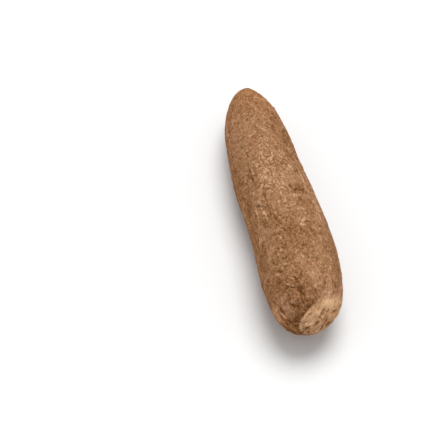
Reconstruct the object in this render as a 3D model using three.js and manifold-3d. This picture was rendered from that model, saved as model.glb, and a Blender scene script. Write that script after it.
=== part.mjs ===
// A yam tuber lying on its belly, as one closed solid in millimetres.
//
// Frame: +Z up, the table at z = 0, the long axis along Y, and the origin on the
// table under the middle of the tuber. The blunt crown, where the tuber was broken
// from the vine and the wound dried over, points to -Y. The thinner tip points to +Y.
//
// The body is an oval section swept along a gently bent axis. Its radius follows a
// girth curve, closes in a rounded cap at each end and carries a few slow swellings.

import * as THREE from "three";
import { mergeVertices } from "three/addons/utils/BufferGeometryUtils.js";
import Module from "manifold-3d";

// Size
const LENGTH = 268;
const OVALNESS = 0.03; // the section is this share wider, and as much lower, than round
const BELLY_FLAT_DEPTH = 0.6; // how far the underside is worn flat where it rests

// Curves along the tuber: evenly spaced stations, from the crown to the tip
const GIRTH_RADIUS = [26, 31.5, 31, 29, 26, 23];
const AXIS_SIDE = [0, 2.5, 3.5, -1, -1, 0];
const AXIS_HEIGHT = [33, 32, 29.5, 28.5, 27, 25];

// End caps: the length over which an end closes, and how blunt it is (2 is an ellipse)
const CROWN_CAP = { length: 40, bluntness: 2.5 };
const TIP_CAP = { length: 65, bluntness: 2 };

// Slow swellings of the surface: lobes around the section, wavelength along the
// tuber, height, and the place and angle (0 is +X, 90 is up) of one crest
const SWELLINGS = [
  { lobes: 2, wavelength: 190, height: 0.5, crestY: 40, crestDeg: 30 },
  { lobes: 3, wavelength: 120, height: 0.35, crestY: -20, crestDeg: 75 },
  { lobes: 4, wavelength: 75, height: 0.25, crestY: 15, crestDeg: 10 },
  { lobes: 2, wavelength: 45, height: 0.2, crestY: -10, crestDeg: 120 },
  { lobes: 5, wavelength: 55, height: 0.15, crestY: 30, crestDeg: 50 },
];

// The dried wound on the crown: a facet across its upper right side
const WOUND_NORMAL = new THREE.Vector3(0.4, -0.75, 0.5).normalize();
const WOUND_DISTANCE = 120; // from the sweep's own origin to the facet's plane
const WOUND_FLATTENING = 0.45; // share of what stands out past the plane that is taken off

// Mesh resolution
const RINGS = 72;
const SEGMENTS = 44;

const SKIN = { color: 0xa2785a, roughness: 0.92, metalness: 0 };

const wasm = await Module();
wasm.setup();

// A curve through evenly spaced stations, read at a share of the length.
function stationCurve(values) {
  const points = values.map((value, i) => new THREE.Vector3(value, i, 0));
  const curve = new THREE.CatmullRomCurve3(points, false, "catmullrom", 0.5);
  return (share) => curve.getPoint(share).x;
}

const girthAt = stationCurve(GIRTH_RADIUS);
const sideAt = stationCurve(AXIS_SIDE);
const heightAt = stationCurve(AXIS_HEIGHT);

// 0 at the very end, rising to 1 where the cap meets the body.
function capShare(distance, cap) {
  const inward = Math.max(0, 1 - distance / cap.length);
  return Math.pow(1 - Math.pow(inward, cap.bluntness), 1 / cap.bluntness);
}

function swellingAt(y, angle) {
  let height = 0;
  for (const s of SWELLINGS) {
    const along = Math.cos((2 * Math.PI * (y - s.crestY)) / s.wavelength);
    const around = Math.cos(s.lobes * (angle - THREE.MathUtils.degToRad(s.crestDeg)));
    height += s.height * along * around;
  }
  return height;
}

// Takes part of the dome off where it stands out past the wound's plane.
function flattenWound(point) {
  const excess = point.dot(WOUND_NORMAL) - WOUND_DISTANCE;
  if (excess > 0) point.addScaledVector(WOUND_NORMAL, -excess * WOUND_FLATTENING);
  return point;
}

// The surface point at a distance y along the tuber and an angle around its axis.
function skinPoint(y, angle) {
  const share = THREE.MathUtils.clamp(y / LENGTH + 0.5, 0, 1);
  const crownSide = capShare(y + LENGTH / 2, CROWN_CAP);
  const tipSide = capShare(LENGTH / 2 - y, TIP_CAP);
  const radius = (girthAt(share) + swellingAt(y, angle)) * crownSide * tipSide;
  return flattenWound(
    new THREE.Vector3(
      sideAt(share) + radius * (1 + OVALNESS) * Math.cos(angle),
      y,
      heightAt(share) + radius * (1 - OVALNESS) * Math.sin(angle),
    ),
  );
}

// The closed skin: a pole at each end and rings between, closer together at the caps.
function skinGeometry() {
  const positions = [];
  const triangles = [];
  const ringY = (ring) => (-Math.cos((Math.PI * ring) / (RINGS + 1)) * LENGTH) / 2;
  positions.push(...skinPoint(ringY(0), 0).toArray());
  for (let ring = 1; ring <= RINGS; ring++) {
    for (let k = 0; k < SEGMENTS; k++) {
      const angle = (2 * Math.PI * k) / SEGMENTS;
      positions.push(...skinPoint(ringY(ring), angle).toArray());
    }
  }
  positions.push(...skinPoint(ringY(RINGS + 1), 0).toArray());

  const crownPole = 0;
  const tipPole = 1 + RINGS * SEGMENTS;
  const vertex = (ring, k) => 1 + (ring - 1) * SEGMENTS + (k % SEGMENTS);
  for (let k = 0; k < SEGMENTS; k++) {
    triangles.push(crownPole, vertex(1, k), vertex(1, k + 1));
    triangles.push(tipPole, vertex(RINGS, k + 1), vertex(RINGS, k));
    for (let ring = 1; ring < RINGS; ring++) {
      const a = vertex(ring, k);
      const b = vertex(ring, k + 1);
      const c = vertex(ring + 1, k + 1);
      const d = vertex(ring + 1, k);
      triangles.push(a, d, c, a, c, b);
    }
  }
  const geometry = new THREE.BufferGeometry();
  geometry.setAttribute("position", new THREE.Float32BufferAttribute(positions, 3));
  geometry.setIndex(triangles);
  return geometry;
}

function solidFrom(geometry) {
  const bare = geometry.clone();
  bare.deleteAttribute("normal");
  bare.deleteAttribute("uv");
  const merged = mergeVertices(bare);
  const mesh = new wasm.Mesh({
    numProp: 3,
    vertProperties: new Float32Array(merged.attributes.position.array),
    triVerts: new Uint32Array(merged.index.array),
  });
  return new wasm.Manifold(mesh);
}

function geometryFrom(solid) {
  const { vertProperties, triVerts } = solid.getMesh();
  const geometry = new THREE.BufferGeometry();
  geometry.setAttribute("position", new THREE.BufferAttribute(vertProperties, 3));
  geometry.setIndex(new THREE.BufferAttribute(triVerts, 1));
  return geometry;
}

// Sets the tuber a little into the table and takes off what is below it, which
// leaves the worn belly that it rests on, then centres it over the origin.
function settle(skin) {
  skin.computeBoundingBox();
  skin.translate(0, 0, -skin.boundingBox.min.z - BELLY_FLAT_DEPTH);
  const underTable = new THREE.BoxGeometry(LENGTH, 2 * LENGTH, LENGTH);
  underTable.translate(0, 0, -LENGTH / 2);
  const settled = geometryFrom(solidFrom(skin).subtract(solidFrom(underTable)));
  settled.computeBoundingBox();
  const middle = settled.boundingBox.getCenter(new THREE.Vector3());
  settled.translate(-middle.x, -middle.y, 0);
  settled.computeVertexNormals();
  return settled;
}

const yam = new THREE.Mesh(
  settle(skinGeometry()),
  new THREE.MeshStandardMaterial(SKIN),
);
yam.name = "yam";

const part = new THREE.Group();
part.add(yam);

export default part;
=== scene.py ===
"""A yam lying on a pale studio floor.

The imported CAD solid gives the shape. A fine skin is cast onto it, and the bark is then
raised and cut into that skin: slow swellings, long wrinkles, corky plates, a crumpled
grain, pits, growth creases, root scars, and the dried wound on the blunt end. Fine root
hairs are a mesh of their own. Shape is worked out in millimetres and the meshes are in
metres.
"""

import itertools
import math

import bmesh
import bpy
import numpy as np
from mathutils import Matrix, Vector
from mathutils.bvhtree import BVHTree


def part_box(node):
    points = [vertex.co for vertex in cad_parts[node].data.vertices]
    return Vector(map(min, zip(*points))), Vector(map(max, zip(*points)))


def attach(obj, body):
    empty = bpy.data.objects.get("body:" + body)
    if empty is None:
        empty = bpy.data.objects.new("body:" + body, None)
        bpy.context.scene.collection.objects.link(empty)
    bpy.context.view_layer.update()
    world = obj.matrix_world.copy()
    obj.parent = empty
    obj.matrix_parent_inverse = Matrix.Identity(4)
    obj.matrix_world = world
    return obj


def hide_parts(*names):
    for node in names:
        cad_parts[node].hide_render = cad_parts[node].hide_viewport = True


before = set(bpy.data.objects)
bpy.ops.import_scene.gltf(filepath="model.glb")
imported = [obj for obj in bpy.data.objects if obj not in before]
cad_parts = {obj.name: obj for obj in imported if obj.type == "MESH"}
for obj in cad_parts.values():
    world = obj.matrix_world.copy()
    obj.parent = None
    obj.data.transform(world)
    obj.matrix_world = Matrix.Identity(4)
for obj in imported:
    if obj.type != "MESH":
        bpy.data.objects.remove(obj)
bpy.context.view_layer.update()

MM = 0.001
NODE = "yam"
LOW = np.array(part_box(NODE)[0]) / MM
HIGH = np.array(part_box(NODE)[1]) / MM
CROWN_END = LOW[1]  # the blunt end, towards -Y
TIP_END = HIGH[1]

# Camera: it looks down on the lying yam at the angle from its own axis that the
# leaning yam was seen at
CAMERA_AZIMUTH = -10.5
CAMERA_ELEVATION = 50.0
CAMERA_DISTANCE = 1.15
CAMERA_LENS = 116.0
SENSOR_WIDTH = 36.0
AIM_HEIGHT = 0.031
AIM_RIGHT = -0.053  # the yam stands to the right of the middle of the picture
AIM_UP = -0.013

# Light
WORLD_STRENGTH = 0.75
SUN_STRENGTH = 2.7
SUN_SPREAD_DEG = 40.0
SUN_FROM = (0.16, 0.32, 0.93)
FLOOR_TONE = 0.68
FLOOR_HALF_SIZE = 10.0
BACKDROP_RADIUS = 8.0

# Skin mesh: a box-like grid, so that no point gathers all its lines
CELLS_PER_SIDE = 70
CELLS_ALONG = 318
JOIN_DEPTH = 8.0  # how far from each end the sides of the grid stop and its end face starts
DENSER_ON_TOP = 0.3
SMOOTHING_STEPS = 60
AXIS_SAMPLES = 120
RAY_START = 20.0  # how far off an end the rays that find it start
LOWEST_SKIN = 0.02  # what is pressed flat by the floor stays this far above it
LOWEST_HAIR = 0.2
UNWRAP_MARGIN = 0.004

# Colours, from 0 to 255 as a screen shows them. The ramps run from dark to light.
BARK_COLOURS = [
    (0.00, (88, 53, 26)),
    (0.25, (114, 76, 43)),
    (0.50, (139, 101, 69)),
    (0.75, (165, 127, 96)),
    (1.00, (196, 159, 128)),
]
WOOD_COLOURS = [
    (0.00, (86, 52, 28)),
    (0.25, (125, 85, 50)),
    (0.50, (164, 120, 80)),
    (0.75, (192, 150, 112)),
    (1.00, (216, 176, 138)),
]
HAIR_COLOURS = [
    (0.3, (150, 112, 78)),
    (0.7, (196, 158, 120)),
]
# creases and root-scar pits darken towards this as they cut deeper: painted shade in them, with the
# dirt they hold
GROOVE_SHADE_COLOUR = (94, 55, 26)

# What the bark's colour is multiplied by: in broad patches of two kinds, and in its zones
ROSY_TINT = (255, 250, 250)
YELLOW_TINT = (253, 252, 247)
CROWN_TINT = (255, 253, 255)
TIP_TINT = (255, 243, 230)
# painted warm bounce light: the brown light that neighbouring roots throw onto the lower left flank
PAINTED_BOUNCE_TINT = (255, 243, 224)

# The dried wound on the crown: an oval in a plane of its own, with x to the right and y up
WOUND_CENTRE = np.array([7.5, -126.0, 36.0])
WOUND_NORMAL = np.array([0.35, -0.9, 0.3])
WOUND_HALF_SIZE = np.array([21.0, 15.5])
WOUND_FIBRE_ANGLE = 45.0  # of its fibres, from that x axis
WOUND_REACH = 40  # how far from the crown's end the wound is looked for
WOUND_LEAST_FACING = -0.3  # how much the skin may face away from the wound's plane there
FAR_OUTSIDE_WOUND = -30.0

# Marks on the wound, in its plane: from (x, y) to (x, y), half width, strength (dark
# below zero)
WOUND_MARKS = [
    # pale places in the smooth upper part
    ((5, 11), (7, 8), 3.0, 0.6),
    ((2, 11), (0, 10), 2.5, 0.5),
    ((-6, 8), (-5, 8), 1.6, 0.8),
    # nicks and a pale strand along the crisp edge
    ((-20, 4), (-15, 4), 0.6, -0.9),
    ((-18, 1), (-12, 1), 1.1, 0.8),
    ((-13, 10), (-11, 9), 0.7, -0.6),
    # a stain and pits in the middle
    ((-2, 7), (-1, 0), 3.5, -0.3),
    ((0, 7), (0, 8), 0.9, -1.2),
    ((2, 5), (4, 5), 0.8, -0.9),
    ((-4, 2), (-5, 4), 1.5, -1.0),
    ((-2, 5), (-3, 6), 1.2, -0.8),
    ((-3, 3), (-4, 3), 0.7, 1.5),
    # gashes in the torn lower part
    ((9, 0), (11, 0), 1.2, -1.5),
    ((6, -7), (5, -9), 1.2, -1.4),
    ((1, -7), (3, -8), 1.3, -1.4),
    ((-4, -6), (-5, -10), 1.0, -1.3),
    ((-10, -2), (-8, 0), 0.8, -1.3),
    ((-18, -6), (-15, -3), 1.1, -1.6),
    ((-15, -8), (-14, -9), 0.9, -1.4),
    ((8, -9), (-4, -14), 1.6, -0.7),
]

# How far the bark stands out from the solid, to make up for what is cut into it
BARK_THICKNESS = 0.35

# How far from their end the crown's coarse bark, the calmer bark around it and the tip's
# reddish bark reach, and where the tip's is at its full strength
CROWN_REACH = 30
NECK_REACH = 46
TIP_REACH = 75
TIP_FULL = 15
TOP_ANGLE = 95  # the middle of the crumpled upper side; the flanks are on both sides of it
PAINTED_BOUNCE_ANGLE = 205  # the middle of the side given painted warm bounce light, the brown light that neighbouring roots would throw

# The tip ends in a small nose: its centre, radius, and how far it is raised
TIP_NOSE = (np.array([0.0, 130.0, 31.0]), 5.0, 0.8)

# Sizes of what the bark is made of: across the yam, along it, and up
PLATE_SIZE = (4.4, 5.6, 4.4)  # corky plates that the bark has cracked into
PIT_SPACING = (4.2, 5.2, 4.2)
THREAD_SIZE = (2.6, 3.2, 2.6)
CRUMPLE_SIZE = (2.0, 2.6, 2.0)
FLAKE_SIZE = (1.7, 2.2, 1.7)
GRAIN_SIZE = (1.0, 1.3, 1.0)
WRINKLE_SIZE = (3.0, 15.0, 3.0)
NARROW_BAND_SIZE = (2.6, 34.0, 2.6)
BROAD_BAND_SIZE = (6.0, 70.0, 6.0)
ROLL_RADIUS = 30.0  # of the straight roll of bark that long wrinkles are laid out on

# What each layer of the bark's roughness adds: to the height, and to the tone
# The tone goes with the height, darker in cracks and threads and paler on flakes: partly the bark's
# own colour, partly painted light and shade of its relief.
ROUGH_LAYERS = {
    "crumple": (0.20, 0.7),
    "crack": (-0.34, -1.5),
    "broken": (0.0, 0.45),
    "thread": (-0.16, -0.7),
    "flake": (0.22, 1.5),
    "plate": (0.15, 0.6),
}

# Paler and darker patches: place along, angle, half-length, half-width in degrees, tone
# Some of the darker ones are painted shade: those along the left flank at about 155 degrees stand for
# the shade of neighbouring roots.
TONE_AND_SHADE_PATCHES = [
    # paler, on the side that the photograph shows
    (62, 85, 8, 10, 0.3),
    (15, 95, 30, 25, 0.2),
    (24, 117, 9, 9, 0.15),
    (0, 113, 12, 8, 0.15),
    (-4, 85, 7, 6, 0.1),
    (-21, 78, 6, 9, 0.2),
    (-51, 82, 8, 8, 0.15),
    (-80, 92, 7, 9, 0.15),
    (-102, 78, 6, 9, 0.35),
    (-121, 143, 7, 11, 0.3),
    # darker, on the same side
    (60, 58, 22, 12, -0.2),
    (25, 50, 18, 8, -0.2),
    (50, 35, 25, 15, -0.45),
    (-12, 65, 6, 13, -0.5),
    (-30, 62, 12, 10, -0.15),
    (-65, 100, 22, 30, -0.35),
    (-64, 68, 7, 8, -0.15),
    (-80, 35, 25, 15, -0.3),
    (-111, 36, 8, 10, -0.3),
    (4, 155, 20, 10, -0.25),
    (-32, 123, 6, 8, -0.25),
    (-44, 158, 14, 9, -0.3),
    (-62, 133, 7, 9, -0.2),
    (-74, 154, 14, 10, -0.35),
    (-85, 136, 6, 10, -0.25),
    (-100, 142, 6, 10, -0.2),
    (-112, 120, 14, 30, -0.45),
    (-120, 85, 6, 11, -0.4),
    # on the underside and the far side
    # painted contact shade along the bottom of the crown's dome, where it meets the floor
    (-130, 235, 6, 75, -0.9),
    (20, 250, 25, 30, -0.2),
    (-60, 230, 20, 30, 0.2),
    (60, 300, 20, 25, 0.2),
    (-30, 320, 20, 20, -0.2),
    (80, 200, 20, 25, -0.15),
]

# The marks that stand out on the bark: from a place along and an angle to another,
# half width, strength (dark below zero)
BARK_MARKS = [
    # the tip
    ((128, 105), (128, 95), 1.3, -1.0),
    ((125, 110), (122, 130), 1.2, 1.2),
    ((120, 72), (115, 50), 1.2, -0.8),
    ((106, 78), (103, 53), 1.0, 0.9),
    ((105, 103), (104, 103), 1.0, -1.0),
    ((102, 99), (95, 96), 0.8, 1.4),
    ((96, 102), (95, 102), 1.0, -1.0),
    ((93, 123), (91, 124), 1.0, -1.0),
    ((88, 163), (72, 168), 2.4, 0.5),
    ((77, 142), (74, 157), 1.2, -0.9),
    ((73, 62), (71, 52), 1.3, -0.7),
    ((72, 90), (72, 88), 1.1, -1.0),
    ((72, 76), (72, 74), 1.1, -1.0),
    # the upper middle
    ((58, 113), (54, 113), 1.2, 0.9),
    ((51, 28), (45, 22), 0.9, 0.9),
    ((49, 35), (43, 25), 0.8, -0.9),
    ((47, 133), (46, 131), 1.1, -0.9),
    ((46, 148), (46, 142), 1.1, -0.9),
    ((44, 85), (43, 83), 1.0, -1.0),
    ((34, 126), (33, 124), 1.2, -1.0),
    ((34, 28), (23, 21), 1.0, 0.9),
    ((18, 100), (16, 97), 1.0, -1.0),
    ((16, 61), (11, 60), 1.2, 0.9),
    # the lower middle
    ((-9, 46), (-7, 18), 1.0, -1.2),
    ((-14, 68), (-14, 67), 1.6, -1.1),
    ((-14, 62), (-14, 61), 1.5, -1.0),
    ((-18, 35), (-46, 42), 2.4, 0.4),
    ((-38, 138), (-42, 134), 2.4, -0.7),
    ((-41, 117), (-41, 114), 1.1, -1.0),
    ((-51, 150), (-57, 153), 0.9, 0.9),
    ((-57, 126), (-58, 115), 1.1, -0.8),
    ((-75, 121), (-75, 119), 1.2, 1.2),
    ((-75, 88), (-75, 82), 1.1, -0.9),
    # the crown's dome
    ((-92, 131), (-94, 128), 1.5, -1.1),
    ((-96, 100), (-97, 100), 1.1, -1.0),
    ((-101, 101), (-102, 101), 1.1, -1.1),
    ((-100, 68), (-102, 66), 1.6, -0.5),
    ((-103, 116), (-103, 113), 1.0, 1.2),
    ((-104, 109), (-104, 104), 1.3, -1.2),
    ((-106, 125), (-110, 117), 0.8, 0.9),
    ((-108, 130), (-108, 126), 1.1, -1.0),
    ((-110, 120), (-111, 116), 1.2, -1.0),
    ((-113, 111), (-114, 107), 1.4, -1.1),
    ((-117, 102), (-117, 99), 1.4, -1.2),
    ((-114, 171), (-124, 162), 1.0, 0.8),
    ((-120, 133), (-122, 127), 1.5, -0.9),
    ((-128, 148), (-130, 150), 1.2, -0.9),
    ((-129, 118), (-131, 110), 1.5, -1.0),
    ((-131, 137), (-132, 130), 1.2, -0.9),
]

# Smaller marks scattered by chance: how many, where along, at what angles, longest run
# along, longest turn around, half widths, strengths
SCATTERED_MARKS = [
    (130, (-120, 124), (0, 360), 2.5, 4.0, (0.8, 1.2), (-0.8, 0.8)),
    (30, (-120, 124), (0, 360), 34.0, 10.0, (0.8, 1.2), (-0.8, 0.8)),
    (12, (-128, -88), (120, 300), 2.5, 5.0, (1.0, 1.5), (-0.8, -0.8)),
]
MARKS_SEED = 31

# Hairs strewn by chance: how many, lengths, widths, how far their ends stand off
HAIR_KINDS = [
    (420, (1.5, 4.5), (0.16, 0.30), (0.0, 1.2)),
    (170, (4.0, 10.0), (0.25, 0.50), (0.0, 0.4)),
]
HAIRS_SEED = 71
HAIR_CURL = 1.2  # in radians, to either side
HAIR_STEPS = 7
HAIR_SINK = 0.05  # how deep a hair's edges lie in the bark where it starts
RIDGE_SHARE = 0.45  # how far a hair's ridge stands above its edges, as a share of its half width
RIDGE_LEAST = 0.04  # and this much on top of that
HAIR_FREE_CROWN = 12  # no hair starts this close to an end
HAIR_FREE_TIP = 3
STANDING_HAIR_WIDTH = 0.35
STANDING_HAIR_CURL = 0.4
LOWEST_HAIR_ROOT = 5.0

# Single hairs: place along, angle, heading, length, how far their end stands off
STANDING_HAIRS = [
    (-93, 20, (0.2, 1.0, 0.3), 4.5, 2.6),
    (-91, 15, (0.3, -0.6, 0.8), 3.5, 2.2),
    (102, 99, (0.1, -1.0, 0.1), 7.0, 0.3),
    (-30, 200, (0.0, 1.0, 0.3), 5.0, 2.4),
    (35, 340, (0.2, 1.0, 0.2), 5.0, 2.0),
]

# Root scars: place along the yam, angle around it (0 is +X, 90 is up), radius
ROOT_SCARS = [
    (-13, 65, 3.5),
    (65, 205, 2.5),
    (-60, 350, 3.0),
    (20, 290, 3.0),
    (90, 330, 2.0),
    (-85, 190, 2.5),
]

# Growth creases: place along, start and end angle, depth, width, lean along the yam
CREASES = [
    (57, 118, 144, 0.45, 0.7, -1.5),
    (46, 105, 135, 0.40, 0.8, 6.5),
    (16, 70, 88, 0.40, 0.7, -5.0),
    (-21, 123, 149, 0.60, 0.8, 10.0),
    (-48, 124, 136, 0.45, 0.7, 8.0),
    (-63, 74, 92, 0.45, 0.8, -2.5),
    (-88, 72, 88, 0.40, 0.8, -2.0),
    (75, 200, 260, 0.50, 0.8, -4.0),
    (10, 210, 250, 0.55, 0.8, 5.0),
    (-50, 300, 350, 0.50, 0.9, -5.0),
    (-30, 190, 230, 0.45, 0.8, 4.0),
    (95, 290, 340, 0.40, 0.7, 3.0),
]


# ---------------------------------------------------------------- noise

# The last number of each call of noise and cell_noise is its seed, which picks the pattern.

LATTICE = 256
FAR_FROM_ZERO = LATTICE * 4  # added to every place, so that none is below zero
NOISE_GAIN = 1.7


def lattice_key(order, at):
    """A number from 0 to 255 for each corner of the lattice, the same whenever it is asked."""
    key = order[at[:, 0] % LATTICE]
    key = order[(key + at[:, 1]) % LATTICE]
    return order[(key + at[:, 2]) % LATTICE]


def noise(points, cell, seed):
    """Smooth noise of about -1 to 1 at points (N, 3), with blobs about `cell` across."""
    rng = np.random.default_rng(seed)
    order = rng.permutation(LATTICE)
    slopes = rng.normal(size=(LATTICE, 3))
    slopes /= np.linalg.norm(slopes, axis=1, keepdims=True)
    place = points / np.asarray(cell, float) + FAR_FROM_ZERO
    base = np.floor(place).astype(int)
    inside = place - base
    fade = inside**3 * (inside * (inside * 6 - 15) + 10)
    total = np.zeros(len(points))
    for corner in itertools.product((0, 1), repeat=3):
        at = base + corner
        key = lattice_key(order, at)
        weight = np.prod(np.where(corner, fade, 1 - fade), axis=1)
        total += weight * np.sum(slopes[key] * (inside - corner), axis=1)
    return total * NOISE_GAIN


def cell_noise(points, cell, seed):
    """For points (N, 3): how far the nearest and the second nearest of randomly placed
    seeds are, in cells, and a random number that belongs to the nearest."""
    rng = np.random.default_rng(seed)
    order = rng.permutation(LATTICE)
    jitter = rng.random((LATTICE, 3))
    label = rng.random(LATTICE)
    place = points / np.asarray(cell, float) + FAR_FROM_ZERO
    base = np.floor(place).astype(int)
    nearest = np.full(len(points), 9.0)
    second = np.full(len(points), 9.0)
    owner = np.zeros(len(points))
    for step in itertools.product((-1, 0, 1), repeat=3):
        at = base + step
        key = lattice_key(order, at)
        gap = np.linalg.norm(at + jitter[key] - place, axis=1)
        closer = gap < nearest
        second = np.where(closer, nearest, np.minimum(second, gap))
        owner = np.where(closer, label[key], owner)
        nearest = np.where(closer, gap, nearest)
    return nearest, second, owner


def smoothstep(value, low, high):
    share = np.clip((value - low) / (high - low), 0, 1)
    return share * share * (3 - 2 * share)


# ---------------------------------------------------------------- base skin


def cad_tree():
    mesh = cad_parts[NODE].data
    corners = [tuple(v.co / MM) for v in mesh.vertices]
    faces = [tuple(p.vertices) for p in mesh.polygons]
    return BVHTree.FromPolygons(corners, faces)


def section_centre(tree, y):
    """The middle of the section at y and its half-width, found by looking out from inside."""
    x, z = 0.0, HIGH[2] / 2
    for _ in range(2):
        right = tree.ray_cast(Vector((x, y, z)), Vector((1, 0, 0)))[0].x
        left = tree.ray_cast(Vector((x, y, z)), Vector((-1, 0, 0)))[0].x
        x = (left + right) / 2
        top = tree.ray_cast(Vector((x, y, z)), Vector((0, 0, 1)))[0].z
        bottom = tree.ray_cast(Vector((x, y, z)), Vector((0, 0, -1)))[0].z
        z = (bottom + top) / 2
    return x, z, (right - left) / 2


def axis_of(tree):
    """The yam's axis and half-width, as arrays of y, x, z and half-width."""
    ys = np.linspace(CROWN_END + JOIN_DEPTH, TIP_END - JOIN_DEPTH, AXIS_SAMPLES)
    middle = np.array([section_centre(tree, y) for y in ys])
    return ys, middle[:, 0], middle[:, 1], middle[:, 2]


def ring_angles():
    """Angles of the points of a ring, from 0 to 2 pi, closer together on top."""
    even = np.arange(4 * CELLS_PER_SIDE) * (math.pi / 2 / CELLS_PER_SIDE)
    return even + DENSER_ON_TOP * np.cos(even)


def ring_places(ys, half_width):
    """Where the rings of the sides stand, evenly spaced along the skin, and that spacing."""
    path = np.concatenate([[0], np.cumsum(np.hypot(np.diff(ys), np.diff(half_width)))])
    return np.interp(np.linspace(0, path[-1], CELLS_ALONG + 1), path, ys), path[-1] / CELLS_ALONG


def disc_place(column, row):
    """Where a grid point of an end face lies on a disc: its step around the ring, and its
    share of the radius."""
    a = 2 * column / CELLS_PER_SIDE - 1
    b = 2 * row / CELLS_PER_SIDE - 1
    if a == 0 and b == 0:
        return 0.0, 0.0
    if abs(a) >= abs(b):
        radius, quarter = abs(a), b / a + (4 if a < 0 else 0)
    else:
        radius, quarter = abs(b), 2 - a / b + (4 if b < 0 else 0)
    # eight eighths make a whole turn
    return (quarter / 2 % 4) * CELLS_PER_SIDE, radius


class Skin:
    """The grid of the skin: points, four-sided faces, and for each point the angle
    around the axis and its place in the cylindrical map."""

    def __init__(self, tree):
        self.points, self.angles, self.rows, self.faces = [], [], [], []
        self.poles = []
        self.around = 4 * CELLS_PER_SIDE
        self.ring = ring_angles()
        ys, xs, zs, widths = axis_of(tree)
        places, self.step = ring_places(ys, widths)
        self.axis = (ys, xs, zs)
        self._add_sides(tree, places)
        self._add_end(tree, 0, CROWN_END, Vector((0, 1, 0)))
        self._add_end(tree, CELLS_ALONG, TIP_END, Vector((0, -1, 0)))
        self.points = np.array(self.points)
        self.angles = np.array(self.angles)
        self.rows = np.array(self.rows)
        self.faces = np.array(self.faces)
        self.paths = self.rows * self.step

    def centre(self, y):
        ys, xs, zs = self.axis
        return np.interp(y, ys, xs), np.interp(y, ys, zs)

    def _add_sides(self, tree, places):
        for row, y in enumerate(places):
            x, z = self.centre(y)
            for angle in self.ring:
                out = Vector((math.cos(angle), 0, math.sin(angle)))
                hit = tree.ray_cast(Vector((x, y, z)), out)[0]
                self.points.append(tuple(hit))
                self.angles.append(angle)
                self.rows.append(row)
        for row in range(CELLS_ALONG):
            for k in range(self.around):
                after = (k + 1) % self.around
                a, b = row * self.around + k, row * self.around + after
                self.faces.append((a, a + self.around, b + self.around, b))

    def _add_end(self, tree, rim_row, end, inward):
        """Closes one end with a square grid bent onto its disc, seen along the axis."""
        rim = rim_row * self.around
        rim_points = np.array(self.points[rim:rim + self.around])
        x, z = self.centre(rim_points[0][1])
        reach = np.hypot(rim_points[:, 0] - x, rim_points[:, 2] - z)
        steps = np.arange(self.around + 1)
        closed_ring = np.append(self.ring, self.ring[0] + 2 * math.pi)
        closed_reach = np.append(reach, reach[0])
        number = {}
        for column in range(CELLS_PER_SIDE + 1):
            for row in range(CELLS_PER_SIDE + 1):
                step, radius = disc_place(column, row)
                if radius == 1:
                    number[column, row] = rim + round(step) % self.around
                    continue
                angle = np.interp(step, steps, closed_ring)
                out = radius * np.interp(step, steps, closed_reach)
                start = Vector((x + out * math.cos(angle), 0, z + out * math.sin(angle)))
                start.y = end - RAY_START * inward.y
                number[column, row] = len(self.points)
                if radius == 0:
                    self.poles.append(len(self.points))
                self.points.append(tuple(tree.ray_cast(start, inward)[0]))
                self.angles.append(angle)
                self.rows.append(rim_row - inward.y * (1 - radius) * CELLS_PER_SIDE / 2)
        for column, row in itertools.product(range(CELLS_PER_SIDE), repeat=2):
            loop = [
                number[column, row],
                number[column + 1, row],
                number[column + 1, row + 1],
                number[column, row + 1],
            ]
            self.faces.append(tuple(loop if inward.y > 0 else loop[::-1]))


def smoothed(points, faces, steps):
    """Evens out the facets that the CAD solid leaves, by averaging neighbours."""
    edges = np.vstack([faces[:, [0, 1]], faces[:, [1, 2]], faces[:, [2, 3]], faces[:, [3, 0]]])
    start, finish = edges[:, 0], edges[:, 1]
    count = np.bincount(start, minlength=len(points)).astype(float)
    result = points.copy()
    for _ in range(steps):
        for axis in range(3):
            total = np.bincount(start, weights=result[finish, axis], minlength=len(points))
            result[:, axis] = total / count
    return result


def normals_of(points, faces):
    across = points[faces[:, 2]] - points[faces[:, 0]]
    over = points[faces[:, 3]] - points[faces[:, 1]]
    facing = np.cross(across, over)
    total = np.zeros_like(points)
    for corner in range(4):
        for axis in range(3):
            share = facing[:, axis]
            total[:, axis] += np.bincount(faces[:, corner], weights=share, minlength=len(points))
    return total / np.linalg.norm(total, axis=1, keepdims=True)


# ---------------------------------------------------------------- features of the bark


def angle_gap(angles, centre_deg):
    """Signed gap to an angle, in radians, from -pi to pi."""
    return (angles - math.radians(centre_deg) + math.pi) % (2 * math.pi) - math.pi


def wound_frame():
    normal = WOUND_NORMAL / np.linalg.norm(WOUND_NORMAL)
    right = np.cross((0, 0, 1), normal)
    right /= np.linalg.norm(right)
    return right, np.cross(normal, right), normal


def oval_depth(x, y, half_size):
    """About how far each place is inside an oval around the origin: below zero outside."""
    place = np.column_stack([x, y]) / half_size
    reach = np.linalg.norm(place, axis=1)
    steepness = np.maximum(np.linalg.norm(place / half_size, axis=1), 1e-6)
    return reach * (1 - reach) / steepness


def wound_place(points):
    """Where points are in the wound's plane, to the right and up."""
    right, up, _ = wound_frame()
    offset = points - WOUND_CENTRE
    return offset @ right, offset @ up


def wound_depth(points, normals):
    """How far inside the wound's ragged outline each point is, in millimetres."""
    x, y = wound_place(points)
    ragged = 0.6 * noise(points, 5.0, 41) + 0.4 * noise(points, 1.8, 42)
    depth = oval_depth(x, y, WOUND_HALF_SIZE) + ragged
    facing = normals @ wound_frame()[2] > WOUND_LEAST_FACING
    near = points[:, 1] < CROWN_END + WOUND_REACH
    return np.where(facing & near, depth, FAR_OUTSIDE_WOUND)


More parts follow.
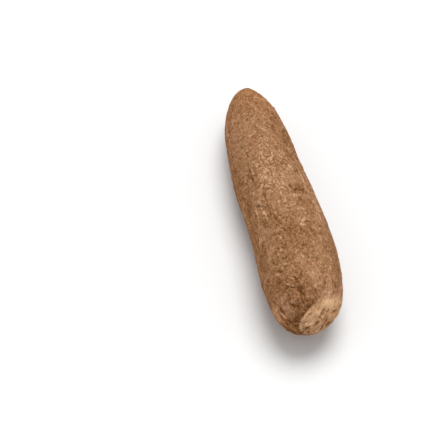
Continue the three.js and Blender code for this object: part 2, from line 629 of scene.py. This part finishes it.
def strokes(places, lines, wobble):
    """Total of thin marks: each line is (start, end, half width, strength), dark below zero."""
    total = np.zeros(len(places))
    moved = places + wobble
    for start, end, half_width, strength in lines:
        run = end - start
        share = np.clip((moved - start) @ run / max(run @ run, 0.01), 0, 1)
        gap = np.linalg.norm(moved - start - share[:, None] * run, axis=1) / half_width
        total += strength * (1 - smoothstep(gap, 0.1, 1.3))
    return total


def wobbles(points, dimensions):
    """Unevenness that keeps marks from having smooth edges, in millimetres."""
    layers = []
    for k in range(dimensions):
        layers.append(0.7 * noise(points, 3.2, 70 + k) + 0.4 * noise(points, 1.3, 75 + k))
    return np.column_stack(layers)


def wound_relief(points, depth):
    """The torn wood of the wound: its height and tone, how much of the bark it replaces,
    the valley and the stain along its crisp side, and its places along and across the fibres."""
    x, y = wound_place(points)
    turn = math.radians(WOUND_FIBRE_ANGLE)
    along = x * math.cos(turn) + y * math.sin(turn)
    across = -x * math.sin(turn) + y * math.cos(turn) + 0.8 * noise(points, 6.0, 43)
    strands = np.column_stack([along, across, np.zeros(len(points))])

    # the edge is crisp on the left, and the lower part is torn
    crisp = smoothstep(-x, 5, 13) * smoothstep(y, -11, -7)
    share = smoothstep(depth / (2.8 - 2.4 * crisp), -1, 1)
    torn = smoothstep(2.5 * noise(points, 5.0, 44) + 3.0 - y, 0, 5)

    fibres = 1 - 2.2 * np.abs(noise(strands, (9.0, 1.4, 1.0), 13))
    coarse = noise(strands, (8.0, 2.0, 1.0), 45)
    fissure = smoothstep(-coarse, 0.16, 0.36)
    lumps = noise(strands, (3.6, 1.9, 1.0), 46)
    height = -0.35 + 0.25 * fibres + torn * (0.8 * coarse - 0.9 * fissure) + 0.25 * lumps
    tone = 0.6 * fibres + (0.6 * coarse - 1.8 * fissure) * torn + lumps
    tone += 0.4 * noise(points, 5.0, 49)
    tone += 0.5 - 0.7 * torn

    lines = []
    for start, end, half_width, strength in WOUND_MARKS:
        lines.append((np.array(start), np.array(end), half_width, strength))
    marks = strokes(np.column_stack([x, y]), lines, wobbles(points, 2))
    height += marks
    tone += 2.4 * marks

    # the crisp side: a raised crest just inside with a painted highlight along it, and outside a
    # valley with painted shade in it, and a stain
    crest = crisp * np.exp(-(((depth - 0.7) / 0.8) ** 2))
    valley = crisp * np.exp(-(((depth + 1.3) / 1.1) ** 2))
    stain = crisp * np.exp(-(((depth + 3.5) / 3.0) ** 2))
    return height + 0.6 * crest, tone + crest, share, valley, stain, strands


def crease_relief(points, angles):
    """Narrow dark grooves that run part of the way around."""
    groove = np.zeros(len(points))
    wobble = 1.1 * noise(points, 9.0, 51) + 0.4 * noise(points, 2.5, 52)
    for place, start, end, depth, width, lean in CREASES:
        middle, half = (start + end) / 2, math.radians(end - start) / 2
        share = angle_gap(angles, middle) / half
        line = place + lean * share / 2 + wobble
        fade = smoothstep(1 - np.abs(share), 0, 0.35)
        cut = np.exp(-(((points[:, 1] - line) / width) ** 2))
        groove = np.maximum(groove, depth * cut * fade)
    return groove


def place_on(skin, points, along, angle_deg):
    """The point of the skin that is nearest to a place along and an angle around."""
    millimetres_per_radian = 25
    off_along = np.abs(points[:, 1] - along)
    off_around = millimetres_per_radian * np.abs(angle_gap(skin.angles, angle_deg))
    return points[np.argmin(off_along + off_around)]


def root_scar_relief(skin, points):
    """Small craters with a raised rim, where side roots broke off: height and mark."""
    height = np.zeros(len(points))
    mark = np.zeros(len(points))
    for along, angle_deg, radius in ROOT_SCARS:
        gap = np.linalg.norm(points - place_on(skin, points, along, angle_deg), axis=1) / radius
        gap = gap + 0.18 * noise(points, 2.0, 61)
        rim = np.exp(-(((gap - 0.95) / 0.28) ** 2))
        pit = 1 - smoothstep(gap, 0.2, 0.8)
        height += 0.35 * rim - 0.5 * pit
        mark = np.maximum(mark, pit)
    return height, mark


def scattered_marks():
    """Random small marks, in the form of BARK_MARKS."""
    rng = np.random.default_rng(MARKS_SEED)
    marks = []
    for count, places, angles, longest, turn, half_widths, strengths in SCATTERED_MARKS:
        for _ in range(count):
            along, angle_deg = rng.uniform(*places), rng.uniform(*angles)
            end = (along - longest * rng.uniform(0.3, 1.0), angle_deg + rng.uniform(-turn, turn))
            marks.append(((along, angle_deg), end, rng.uniform(*half_widths), rng.choice(strengths)))
    return marks


def bark_marks(skin, points):
    """Pale strands and flecks (above zero) and dark pits and scratches (below zero)."""
    lines = []
    for start, end, half_width, strength in BARK_MARKS + scattered_marks():
        first, last = place_on(skin, points, *start), place_on(skin, points, *end)
        lines.append((first, last, half_width, strength))
    return strokes(points, lines, wobbles(points, 3))


def straightened(skin, points):
    """Places on a straight roll of bark, so that what is long there runs along the yam and
    gathers at its ends."""
    return np.column_stack([
        ROLL_RADIUS * np.cos(skin.angles),
        skin.paths,
        ROLL_RADIUS * np.sin(skin.angles),
    ])


def warped(points, *layers):
    """points pushed about by noise: layers are (size, amount) pairs."""
    result = points.copy()
    for number, (size, amount) in enumerate(layers):
        seeds = range(200 + 3 * number, 203 + 3 * number)
        result += amount * np.column_stack([noise(points, size, seed) for seed in seeds])
    return result


# Paler and darker patches of the bark, some of them painted shade along the left flank and under the
# crown.
def tone_and_shade_patches(skin, points):
    tone = np.zeros(len(points))
    drift = 0.45 * noise(points, 9.0, 101) + 0.25 * noise(points, 4.0, 102)
    for place, angle_deg, half_length, half_width, strength in TONE_AND_SHADE_PATCHES:
        along = (points[:, 1] - place) / half_length
        around = angle_gap(skin.angles, angle_deg) / math.radians(half_width)
        reach = np.hypot(along, around) + drift
        tone += strength * (1 - smoothstep(reach, 0.55, 1.35))
    return tone


def bark_zones(skin, points):
    """Where the bark is of another kind, and where painted bounce light falls, from 0 to 1 for each
    zone.
    """
    y = points[:, 1]
    ragged = 5 * noise(points, 8.0, 12)
    off_painted_bounce = angle_gap(skin.angles, PAINTED_BOUNCE_ANGLE)
    return {
        "flank": smoothstep(np.abs(angle_gap(skin.angles, TOP_ANGLE)), 0.5, 1.6),
        "crown": smoothstep(CROWN_END + CROWN_REACH + ragged - y, 0, 9),
        "neck": smoothstep(CROWN_END + NECK_REACH + ragged - y, 0, 12),
        "tip": smoothstep(y, TIP_END - TIP_REACH, TIP_END - TIP_FULL),
        "painted_bounce": smoothstep(off_painted_bounce, -1.3, -0.5) * smoothstep(-off_painted_bounce, -1.3, -0.5),
    }


def rough_layers(points, bend):
    """The layers of ROUGH_LAYERS: bend is points, pushed about."""
    # corky plates with cracks between them, which fade in and out
    nearest, second, owner = cell_noise(bend, PLATE_SIZE, 21)
    broken = smoothstep(noise(points, 9.0, 22), -0.45, 0.25)
    crack = (1 - smoothstep(second - nearest, 0.03, 0.30)) * broken

    thread = 1 - smoothstep(np.abs(noise(bend, THREAD_SIZE, 23)), 0.02, 0.16)
    flake = smoothstep(noise(bend, FLAKE_SIZE, 25), 0.25, 0.75)
    return {
        "crumple": noise(bend, CRUMPLE_SIZE, 7),
        "crack": crack,
        "broken": broken,
        "thread": thread * smoothstep(noise(points, 6.0, 24), -0.2, 0.4),
        "flake": flake * smoothstep(noise(points, 12.0, 26), -0.1, 0.5),
        "plate": 0.5 - owner,
    }


def bark_relief(skin, points, normals):
    """Heights to raise the skin by, in millimetres, and the fields that colour it."""
    zones = bark_zones(skin, points)
    flank, crown = zones["flank"], zones["crown"]
    roll = straightened(skin, points)
    bend = warped(points, (5.5, 1.9), (2.2, 0.8))
    swell = 0.22 * noise(points, 26.0, 4) + 0.15 * noise(points, 11.0, 5)
    swell = swell + 0.10 * noise(points, 5.5, 15) + BARK_THICKNESS
    nose, nose_radius, nose_height = TIP_NOSE
    swell += nose_height * np.exp(-((np.linalg.norm(points - nose, axis=1) / nose_radius) ** 2))

    long_wrinkle = 1 - 2.2 * np.abs(noise(warped(roll, (5.0, 1.2)), WRINKLE_SIZE, 6))
    long_wrinkle = long_wrinkle * (0.25 + 0.75 * flank) * (1 + 0.8 * crown)
    grain = noise(points, GRAIN_SIZE, 10)

    nearest, _, lot = cell_noise(bend, PIT_SPACING, 11)
    pits = (lot > 0.6) * (1 - smoothstep(nearest, 0.08, 0.30))

    groove = crease_relief(points, skin.angles)
    scar_height, scar_mark = root_scar_relief(skin, points)
    marks = bark_marks(skin, points)

    narrow, broad = noise(roll, NARROW_BAND_SIZE, 18), noise(roll, BROAD_BAND_SIZE, 19)
    band = flank * (0.42 * narrow + 0.3 * broad)
    depth = wound_depth(points, normals)
    wound_height, wound_tone, wound, valley, stain, strands = wound_relief(points, depth)

    rough = np.clip(1.0 + 0.9 * noise(points, 15.0, 9), 0.4, 1.7)
    rough = rough * (1 - 0.5 * zones["neck"]) * (1 - 0.4 * flank) * (1 - 0.25 * zones["tip"])
    rough_height, rough_tone = 0, 0
    for name, layer in rough_layers(points, bend).items():
        to_height, to_tone = ROUGH_LAYERS[name]
        rough_height = rough_height + to_height * layer
        rough_tone = rough_tone + to_tone * layer

    lumps = noise(points, 6.0, 16)
    fine = rough * rough_height + 0.08 * grain
    bark = swell + 0.22 * long_wrinkle + fine - 0.45 * pits - groove + scar_height
    bark += 0.5 * marks - 0.7 * valley + 0.3 * crown * lumps + 0.12 * band
    height = bark * (1 - wound) + (swell + wound_height) * wound

    # the tone is darker in pits and cracks and paler where the bark stands up: partly its own colour,
    # partly painted light and shade of the relief
    tone = 0.05 + rough * rough_tone + 0.35 * grain + 0.3 * long_wrinkle - 1.2 * pits
    # painted shade in the valley beside the wound's crisp side, then the stain
    tone += 2.0 * marks + band - 1.3 * valley - stain
    tone += crown * (0.9 * lumps + 1.1 * noise(points, 2.8, 17) + 1.1 * long_wrinkle)
    tone = np.clip(tone, -2.4, 2.4)
    fields = {
        "tone": tone * (1 - wound) + np.clip(wound_tone, -3.0, 2.0) * wound,
        "patch_tone_and_shade": tone_and_shade_patches(skin, points),
        # painted shade and dirt in the creases and scar pits, by how deep they are
        "groove": np.clip(groove * 1.6 + scar_mark * 0.6, 0, 1),
        "wound": wound,
        "crown": crown,
        "tip": zones["tip"],
        "painted_bounce": zones["painted_bounce"],
    }
    return height, fields, {"straightened": roll, "wound_grain": strands}


def rested(points):
    """Presses the relief flat where it would go below the surface the yam lies on."""
    points[:, 2] = np.maximum(points[:, 2], LOWEST_SKIN)
    return points


# ---------------------------------------------------------------- meshes


def new_object(name, points, faces, smooth=True):
    mesh = bpy.data.meshes.new(name)
    mesh.from_pydata((np.asarray(points) * MM).tolist(), [], [tuple(face) for face in faces])
    mesh.update()
    mesh.polygons.foreach_set("use_smooth", [smooth] * len(mesh.polygons))
    piece = bpy.data.objects.new(name, mesh)
    bpy.context.scene.collection.objects.link(piece)
    return piece


def add_field(mesh, name, values):
    attribute = mesh.attributes.new(name, "FLOAT", "POINT")
    attribute.data.foreach_set("value", np.asarray(values, np.float32))


def unwrap(mesh, skin):
    """A cylindrical map: around the yam across it, along the yam up it."""
    u = ((skin.angles / (2 * math.pi) + 0.25) % 1)[skin.faces]
    wraps = u.max(axis=1) - u.min(axis=1) > 0.5
    u = np.where(wraps[:, None] & (u < 0.5), u + 1, u)
    at_pole = np.isin(skin.faces, skin.poles)
    beside_pole = (np.sum(u, axis=1) - np.sum(u * at_pole, axis=1)) / 3
    u = np.where(at_pole, beside_pole[:, None], u)
    low, high = skin.rows.min(), skin.rows.max()
    v = ((skin.rows - low) / (high - low))[skin.faces]
    places = np.stack([u / u.max(), v], axis=-1) * (1 - 2 * UNWRAP_MARGIN)
    places = UNWRAP_MARGIN + places
    layer = mesh.uv_layers.new(name="OFBake")
    layer.data.foreach_set("uv", places.ravel().astype(np.float32))


def make_skin(tree):
    skin = Skin(tree)
    base = smoothed(skin.points, skin.faces, SMOOTHING_STEPS)
    normals = normals_of(base, skin.faces)
    height, fields, places = bark_relief(skin, base, normals)
    points = rested(base + normals * height[:, None])
    piece = new_object("yam_skin", points, skin.faces)
    for name, values in fields.items():
        add_field(piece.data, name, values)
    for name, place in places.items():
        attribute = piece.data.attributes.new(name, "FLOAT_VECTOR", "POINT")
        attribute.data.foreach_set("vector", (place * MM).astype(np.float32).ravel())
    unwrap(piece.data, skin)
    return piece, skin, points


class Strands:
    """Thin strands that follow the bark: each is a tapering three-sided tube, wider than it
    is high."""

    def __init__(self, points, faces):
        self.surface = BVHTree.FromPolygons(points.tolist(), faces.tolist())
        self.corners, self.faces = [], []

    def lay(self, start, heading, length, width, lift, curl):
        """From start along heading, bending by curl, and standing off by lift at its end."""
        place, heading = Vector(start), Vector(heading)
        first = len(self.corners)
        for step in range(HAIR_STEPS):
            share = step / (HAIR_STEPS - 1)
            on_skin, normal, _, _ = self.surface.find_nearest(place)
            heading = (heading - heading.dot(normal) * normal).normalized()
            side = normal.cross(heading)
            heading = (heading + curl / (HAIR_STEPS - 1) * side).normalized()
            # thinner towards both ends
            half = width / 2 * min(1.0, 3.0 * (1.02 - share)) * (0.5 + 0.5 * min(1.0, 4 * share))
            middle = on_skin + (lift * share * share - HAIR_SINK) * normal
            for across, up in ((-1, 0), (1, 0), (0, 1)):
                corner = middle + half * across * side + RIDGE_SHARE * half * up * normal
                self.corners.append(corner + RIDGE_LEAST * up * normal)
            if step:
                for k in range(3):
                    a, b = first + (step - 1) * 3 + k, first + (step - 1) * 3 + (k + 1) % 3
                    self.faces.append((a, b, b + 3, a + 3))
            place = on_skin + heading * length / (HAIR_STEPS - 1)
        last = len(self.corners) - 3
        self.faces += [(first + 2, first + 1, first), (last, last + 1, last + 2)]


def make_hairs(skin, points):
    """Short root hairs, longer papery strands of bark, and a few single hairs."""
    rng = np.random.default_rng(HAIRS_SEED)
    strands = Strands(points, skin.faces)
    y, z = points[:, 1], points[:, 2]
    between_ends = (y > CROWN_END + HAIR_FREE_CROWN) & (y < TIP_END - HAIR_FREE_TIP)
    allowed = np.flatnonzero((z > LOWEST_HAIR_ROOT) & between_ends)
    for count, lengths, widths, lifts in HAIR_KINDS:
        for root in rng.choice(allowed, count, replace=False):
            heading = rng.normal(size=3) * (0.7, 1.0, 0.7)
            strands.lay(
                points[root],
                heading / np.linalg.norm(heading),
                rng.uniform(*lengths),
                rng.uniform(*widths),
                rng.uniform(*lifts),
                rng.uniform(-HAIR_CURL, HAIR_CURL),
            )
    for along, angle_deg, heading, length, lift in STANDING_HAIRS:
        root = place_on(skin, points, along, angle_deg)
        strands.lay(root, heading, length, STANDING_HAIR_WIDTH, lift, STANDING_HAIR_CURL)
    corners = np.array(strands.corners)
    corners[:, 2] = np.maximum(corners[:, 2], LOWEST_HAIR)
    return new_object("root_hairs", corners, strands.faces)


# ---------------------------------------------------------------- materials


def shader_level(level):
    """One channel of a colour, from 0 to 255 as a screen shows it, as the shader wants it."""
    if level > 10:
        return ((level / 255 + 0.055) / 1.055) ** 2.4
    return level / 255 / 12.92


def rgb(colour):
    return (*[shader_level(level) for level in colour], 1.0)


class Nodes:
    """Short words for building a node tree."""

    def __init__(self, material):
        material.use_nodes = True
        self.tree = material.node_tree
        self.shader = self.tree.nodes["Principled BSDF"]
        self.place = self.add("ShaderNodeTexCoord").outputs["Object"]

    def add(self, kind, inputs=None, **settings):
        made = self.tree.nodes.new(kind)
        for name, value in settings.items():
            setattr(made, name, value)
        for name, value in (inputs or {}).items():
            self.put(made.inputs[name], value)
        return made

    def put(self, socket, value):
        if isinstance(value, bpy.types.NodeSocket):
            self.tree.links.new(value, socket)
        else:
            socket.default_value = value

    def field(self, name):
        return self.add("ShaderNodeAttribute", attribute_name=name).outputs["Fac"]

    def vector_field(self, name):
        return self.add("ShaderNodeAttribute", attribute_name=name).outputs["Vector"]

    def math(self, operation, a, b):
        made = self.add("ShaderNodeMath", operation=operation)
        self.put(made.inputs[0], a)
        self.put(made.inputs[1], b)
        return made.outputs[0]

    def sum(self, base, *parts):
        """base plus weight times each share. Noise counts from the middle of its range."""
        total = base
        for share, weight in parts:
            middle = 0.5 if share.node.type == "TEX_NOISE" else 0.0
            gap = self.math("SUBTRACT", share, middle)
            total = self.math("ADD", total, self.math("MULTIPLY", gap, weight))
        return total

    def tint(self, colour, share, by):
        """colour, multiplied by another as far as share says."""
        return self.mix(share, colour, self.mix(1.0, colour, rgb(by), "MULTIPLY"))

    def stretched(self, stretch, place):
        mapping = self.add("ShaderNodeMapping", {"Vector": place or self.place})
        mapping.inputs["Scale"].default_value = stretch
        return mapping.outputs[0]

    def noise(self, size_mm, detail=2.0, roughness=0.5, stretch=(1, 1, 1), distortion=0.0, place=None):
        """Noise from 0 to 1 with blobs about size_mm across."""
        return self.add(
            "ShaderNodeTexNoise",
            {
                "Vector": self.stretched(stretch, place),
                "Scale": 1 / (size_mm * MM),
                "Detail": detail,
                "Roughness": roughness,
                "Distortion": distortion,
            },
        ).outputs["Fac"]

    def warped(self, place, size_mm, amount_mm):
        """place, pushed about by up to about half of amount_mm."""
        push = self.add(
            "ShaderNodeTexNoise",
            {"Vector": place, "Scale": 1 / (size_mm * MM), "Detail": 1.0},
        )
        centred = self.add("ShaderNodeVectorMath", operation="SUBTRACT")
        self.put(centred.inputs[0], push.outputs["Color"])
        centred.inputs[1].default_value = (0.5, 0.5, 0.5)
        scaled = self.add("ShaderNodeVectorMath", {"Scale": amount_mm * MM}, operation="SCALE")
        self.put(scaled.inputs[0], centred.outputs[0])
        moved = self.add("ShaderNodeVectorMath", operation="ADD")
        self.put(moved.inputs[0], place)
        self.put(moved.inputs[1], scaled.outputs[0])
        return moved.outputs[0]

    def edge_distance(self, place, size_mm):
        """How far a place is from the edge of its cell, in cells about size_mm across."""
        made = self.add("ShaderNodeTexVoronoi", feature="DISTANCE_TO_EDGE")
        self.put(made.inputs["Vector"], place)
        self.put(made.inputs["Scale"], 1 / (size_mm * MM))
        return made.outputs["Distance"]

    def ramp(self, share, stops):
        made = self.add("ShaderNodeValToRGB", {"Fac": share})
        elements = made.color_ramp.elements
        while len(elements) < len(stops):
            elements.new(0.5)
        for element, (position, colour) in zip(elements, stops):
            element.position = position
            element.color = rgb(colour)
        return made.outputs["Color"]

    def mix(self, share, first, second, blend="MIX"):
        made = self.add("ShaderNodeMix", data_type="RGBA", blend_type=blend)
        self.put(made.inputs[0], share)
        self.put(made.inputs[6], first)
        self.put(made.inputs[7], second)
        return made.outputs[2]

    def between(self, value, low, high):
        """value moved from low..high to 0..1."""
        made = self.add("ShaderNodeMapRange", {"Value": value, "From Min": low, "From Max": high})
        return made.outputs[0]

    def bump(self, height, distance_mm, strength, normal=None):
        made = self.add(
            "ShaderNodeBump",
            {"Height": height, "Distance": distance_mm * MM, "Strength": strength},
        )
        if normal is not None:
            self.put(made.inputs["Normal"], normal)
        return made.outputs[0]


def skin_material():
    material = bpy.data.materials.new("yam_bark")
    n = Nodes(material)
    relief = n.field("tone")
    roll = n.vector_field("straightened")
    bent = n.warped(n.place, size_mm=3.0, amount_mm=1.6)
    cracks = n.between(n.edge_distance(bent, size_mm=2.1), 0.16, 0.0)
    calm = n.sum(0.95, (n.field("crown"), -0.15))
    speck = n.noise(0.9, detail=3, roughness=0.6, stretch=(1, 0.75, 1), distortion=0.4)
    fleck = n.noise(1.9, roughness=0.55, stretch=(1, 0.7, 1), distortion=0.8)
    blotch = n.noise(5.5, stretch=(1, 0.8, 1), distortion=0.6)
    fibre = n.noise(0.7, roughness=0.6, stretch=(1, 0.16, 1), distortion=0.3, place=roll)

    # the cracks darken the fine tone: partly painted shade in them
    fine = n.sum(0.0, (speck, 0.95), (fleck, 0.85), (fibre, 0.6), (cracks, -0.14))
    fine = n.math("MULTIPLY", fine, calm)
    # the patches field: the bark's own paler and darker patches, and some painted shade
    tone = n.sum(0.60, (relief, 0.17), (n.field("patch_tone_and_shade"), 0.35), (blotch, 0.09), (fine, 1.0))
    bark = n.ramp(tone, BARK_COLOURS)
    rosy = n.between(n.noise(7.0, roughness=0.55), 0.38, 0.62)
    bark = n.tint(bark, rosy, ROSY_TINT)
    bark = n.tint(bark, n.math("SUBTRACT", 1.0, rosy), YELLOW_TINT)
    bark = n.tint(bark, n.field("crown"), CROWN_TINT)
    bark = n.tint(bark, n.field("tip"), TIP_TINT)
    # painted warm bounce light on the lower left flank
    bark = n.tint(bark, n.field("painted_bounce"), PAINTED_BOUNCE_TINT)

    strands = n.vector_field("wound_grain")
    grain = n.noise(1.1, detail=3, roughness=0.6, stretch=(0.2, 1, 1), distortion=0.3, place=strands)
    wood_tone = n.sum(0.64, (relief, 0.12), (speck, 0.62), (fleck, 0.45), (grain, 0.7))
    wood = n.ramp(wood_tone, WOOD_COLOURS)
    colour = n.mix(n.field("wound"), bark, wood)
    # painted shade and dirt in the creases and scar pits, darker where they cut deeper
    colour = n.mix(n.math("MULTIPLY", n.field("groove"), 0.75), colour, rgb(GROOVE_SHADE_COLOUR))

    bump = n.bump(fleck, distance_mm=1.0, strength=0.6)
    bump = n.bump(cracks, distance_mm=-0.25, strength=0.6, normal=bump)
    bump = n.bump(speck, distance_mm=0.6, strength=0.7, normal=bump)
    bump = n.bump(fibre, distance_mm=0.35, strength=0.6, normal=bump)
    n.put(n.shader.inputs["Base Color"], colour)
    n.put(n.shader.inputs["Roughness"], n.sum(0.88, (speck, 0.2)))
    n.put(n.shader.inputs["Normal"], bump)
    n.shader.inputs["Specular IOR Level"].default_value = 0.08
    return material


def hair_material():
    material = bpy.data.materials.new("root_hair")
    n = Nodes(material)
    n.put(n.shader.inputs["Base Color"], n.ramp(n.noise(2.0), HAIR_COLOURS))
    n.shader.inputs["Roughness"].default_value = 0.8
    n.shader.inputs["Specular IOR Level"].default_value = 0.2
    return material


def floor_material():
    material = bpy.data.materials.new("studio_floor")
    n = Nodes(material)
    n.shader.inputs["Base Color"].default_value = (FLOOR_TONE, FLOOR_TONE, FLOOR_TONE, 1)
    n.shader.inputs["Roughness"].default_value = 0.9
    n.shader.inputs["Specular IOR Level"].default_value = 0.0
    return material


def backdrop_material():
    material = bpy.data.materials.new("studio_backdrop")
    n = Nodes(material)
    n.shader.inputs["Base Color"].default_value = (0, 0, 0, 1)
    n.shader.inputs["Specular IOR Level"].default_value = 0.0
    n.shader.inputs["Emission Color"].default_value = (1, 1, 1, 1)
    n.shader.inputs["Emission Strength"].default_value = 1.0
    return material


# ---------------------------------------------------------------- studio


def make_floor():
    size = FLOOR_HALF_SIZE / MM
    floor = new_object(
        "floor",
        [(-size, -size, 0), (size, -size, 0), (size, size, 0), (-size, size, 0)],
        [(0, 1, 2, 3)],
        smooth=False,
    )
    floor.data.materials.append(floor_material())


def make_backdrop():
    """A white dome around everything. Only the camera sees it, so it leaves the light alone."""
    dome = bmesh.new()
    bmesh.ops.create_icosphere(dome, subdivisions=4, radius=BACKDROP_RADIUS)
    mesh = bpy.data.meshes.new("backdrop")
    dome.to_mesh(mesh)
    dome.free()
    mesh.materials.append(backdrop_material())
    backdrop = bpy.data.objects.new("backdrop", mesh)
    backdrop.visible_diffuse = False
    backdrop.visible_glossy = False
    backdrop.visible_transmission = False
    backdrop.visible_shadow = False
    bpy.context.scene.collection.objects.link(backdrop)


def make_lights():
    world = bpy.data.worlds.new("studio")
    world.use_nodes = True
    background = world.node_tree.nodes["Background"]
    background.inputs["Color"].default_value = (1, 1, 1, 1)
    background.inputs["Strength"].default_value = WORLD_STRENGTH
    bpy.context.scene.world = world
    sun = bpy.data.lights.new("soft_key", "SUN")
    sun.energy = SUN_STRENGTH
    sun.angle = math.radians(SUN_SPREAD_DEG)
    lamp = bpy.data.objects.new("soft_key", sun)
    lamp.rotation_euler = Vector(SUN_FROM).to_track_quat("Z", "Y").to_euler()
    bpy.context.scene.collection.objects.link(lamp)


def make_camera():
    azimuth, elevation = math.radians(CAMERA_AZIMUTH), math.radians(CAMERA_ELEVATION)
    back = Vector((
        math.sin(azimuth) * math.cos(elevation),
        -math.cos(azimuth) * math.cos(elevation),
        math.sin(elevation),
    ))
    right = Vector((math.cos(azimuth), math.sin(azimuth), 0))
    up = back.cross(right)
    data = bpy.data.cameras.new("camera")
    data.lens = CAMERA_LENS
    data.sensor_width = SENSOR_WIDTH
    data.clip_end = 100
    camera = bpy.data.objects.new("camera", data)
    aim = Vector((0, 0, AIM_HEIGHT)) + AIM_RIGHT * right + AIM_UP * up
    camera.location = aim + CAMERA_DISTANCE * back
    camera.rotation_euler = back.to_track_quat("Z", "Y").to_euler()
    bpy.context.scene.collection.objects.link(camera)
    bpy.context.scene.camera = camera
    bpy.context.scene.view_settings.view_transform = "Standard"


# ---------------------------------------------------------------- the scene

make_camera()
make_lights()
make_floor()
make_backdrop()

skin_piece, skin, skin_points = make_skin(cad_tree())
skin_piece.data.materials.append(skin_material())
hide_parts(NODE)
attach(skin_piece, "root")

hairs = make_hairs(skin, skin_points)
hairs.data.materials.append(hair_material())
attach(hairs, "root")
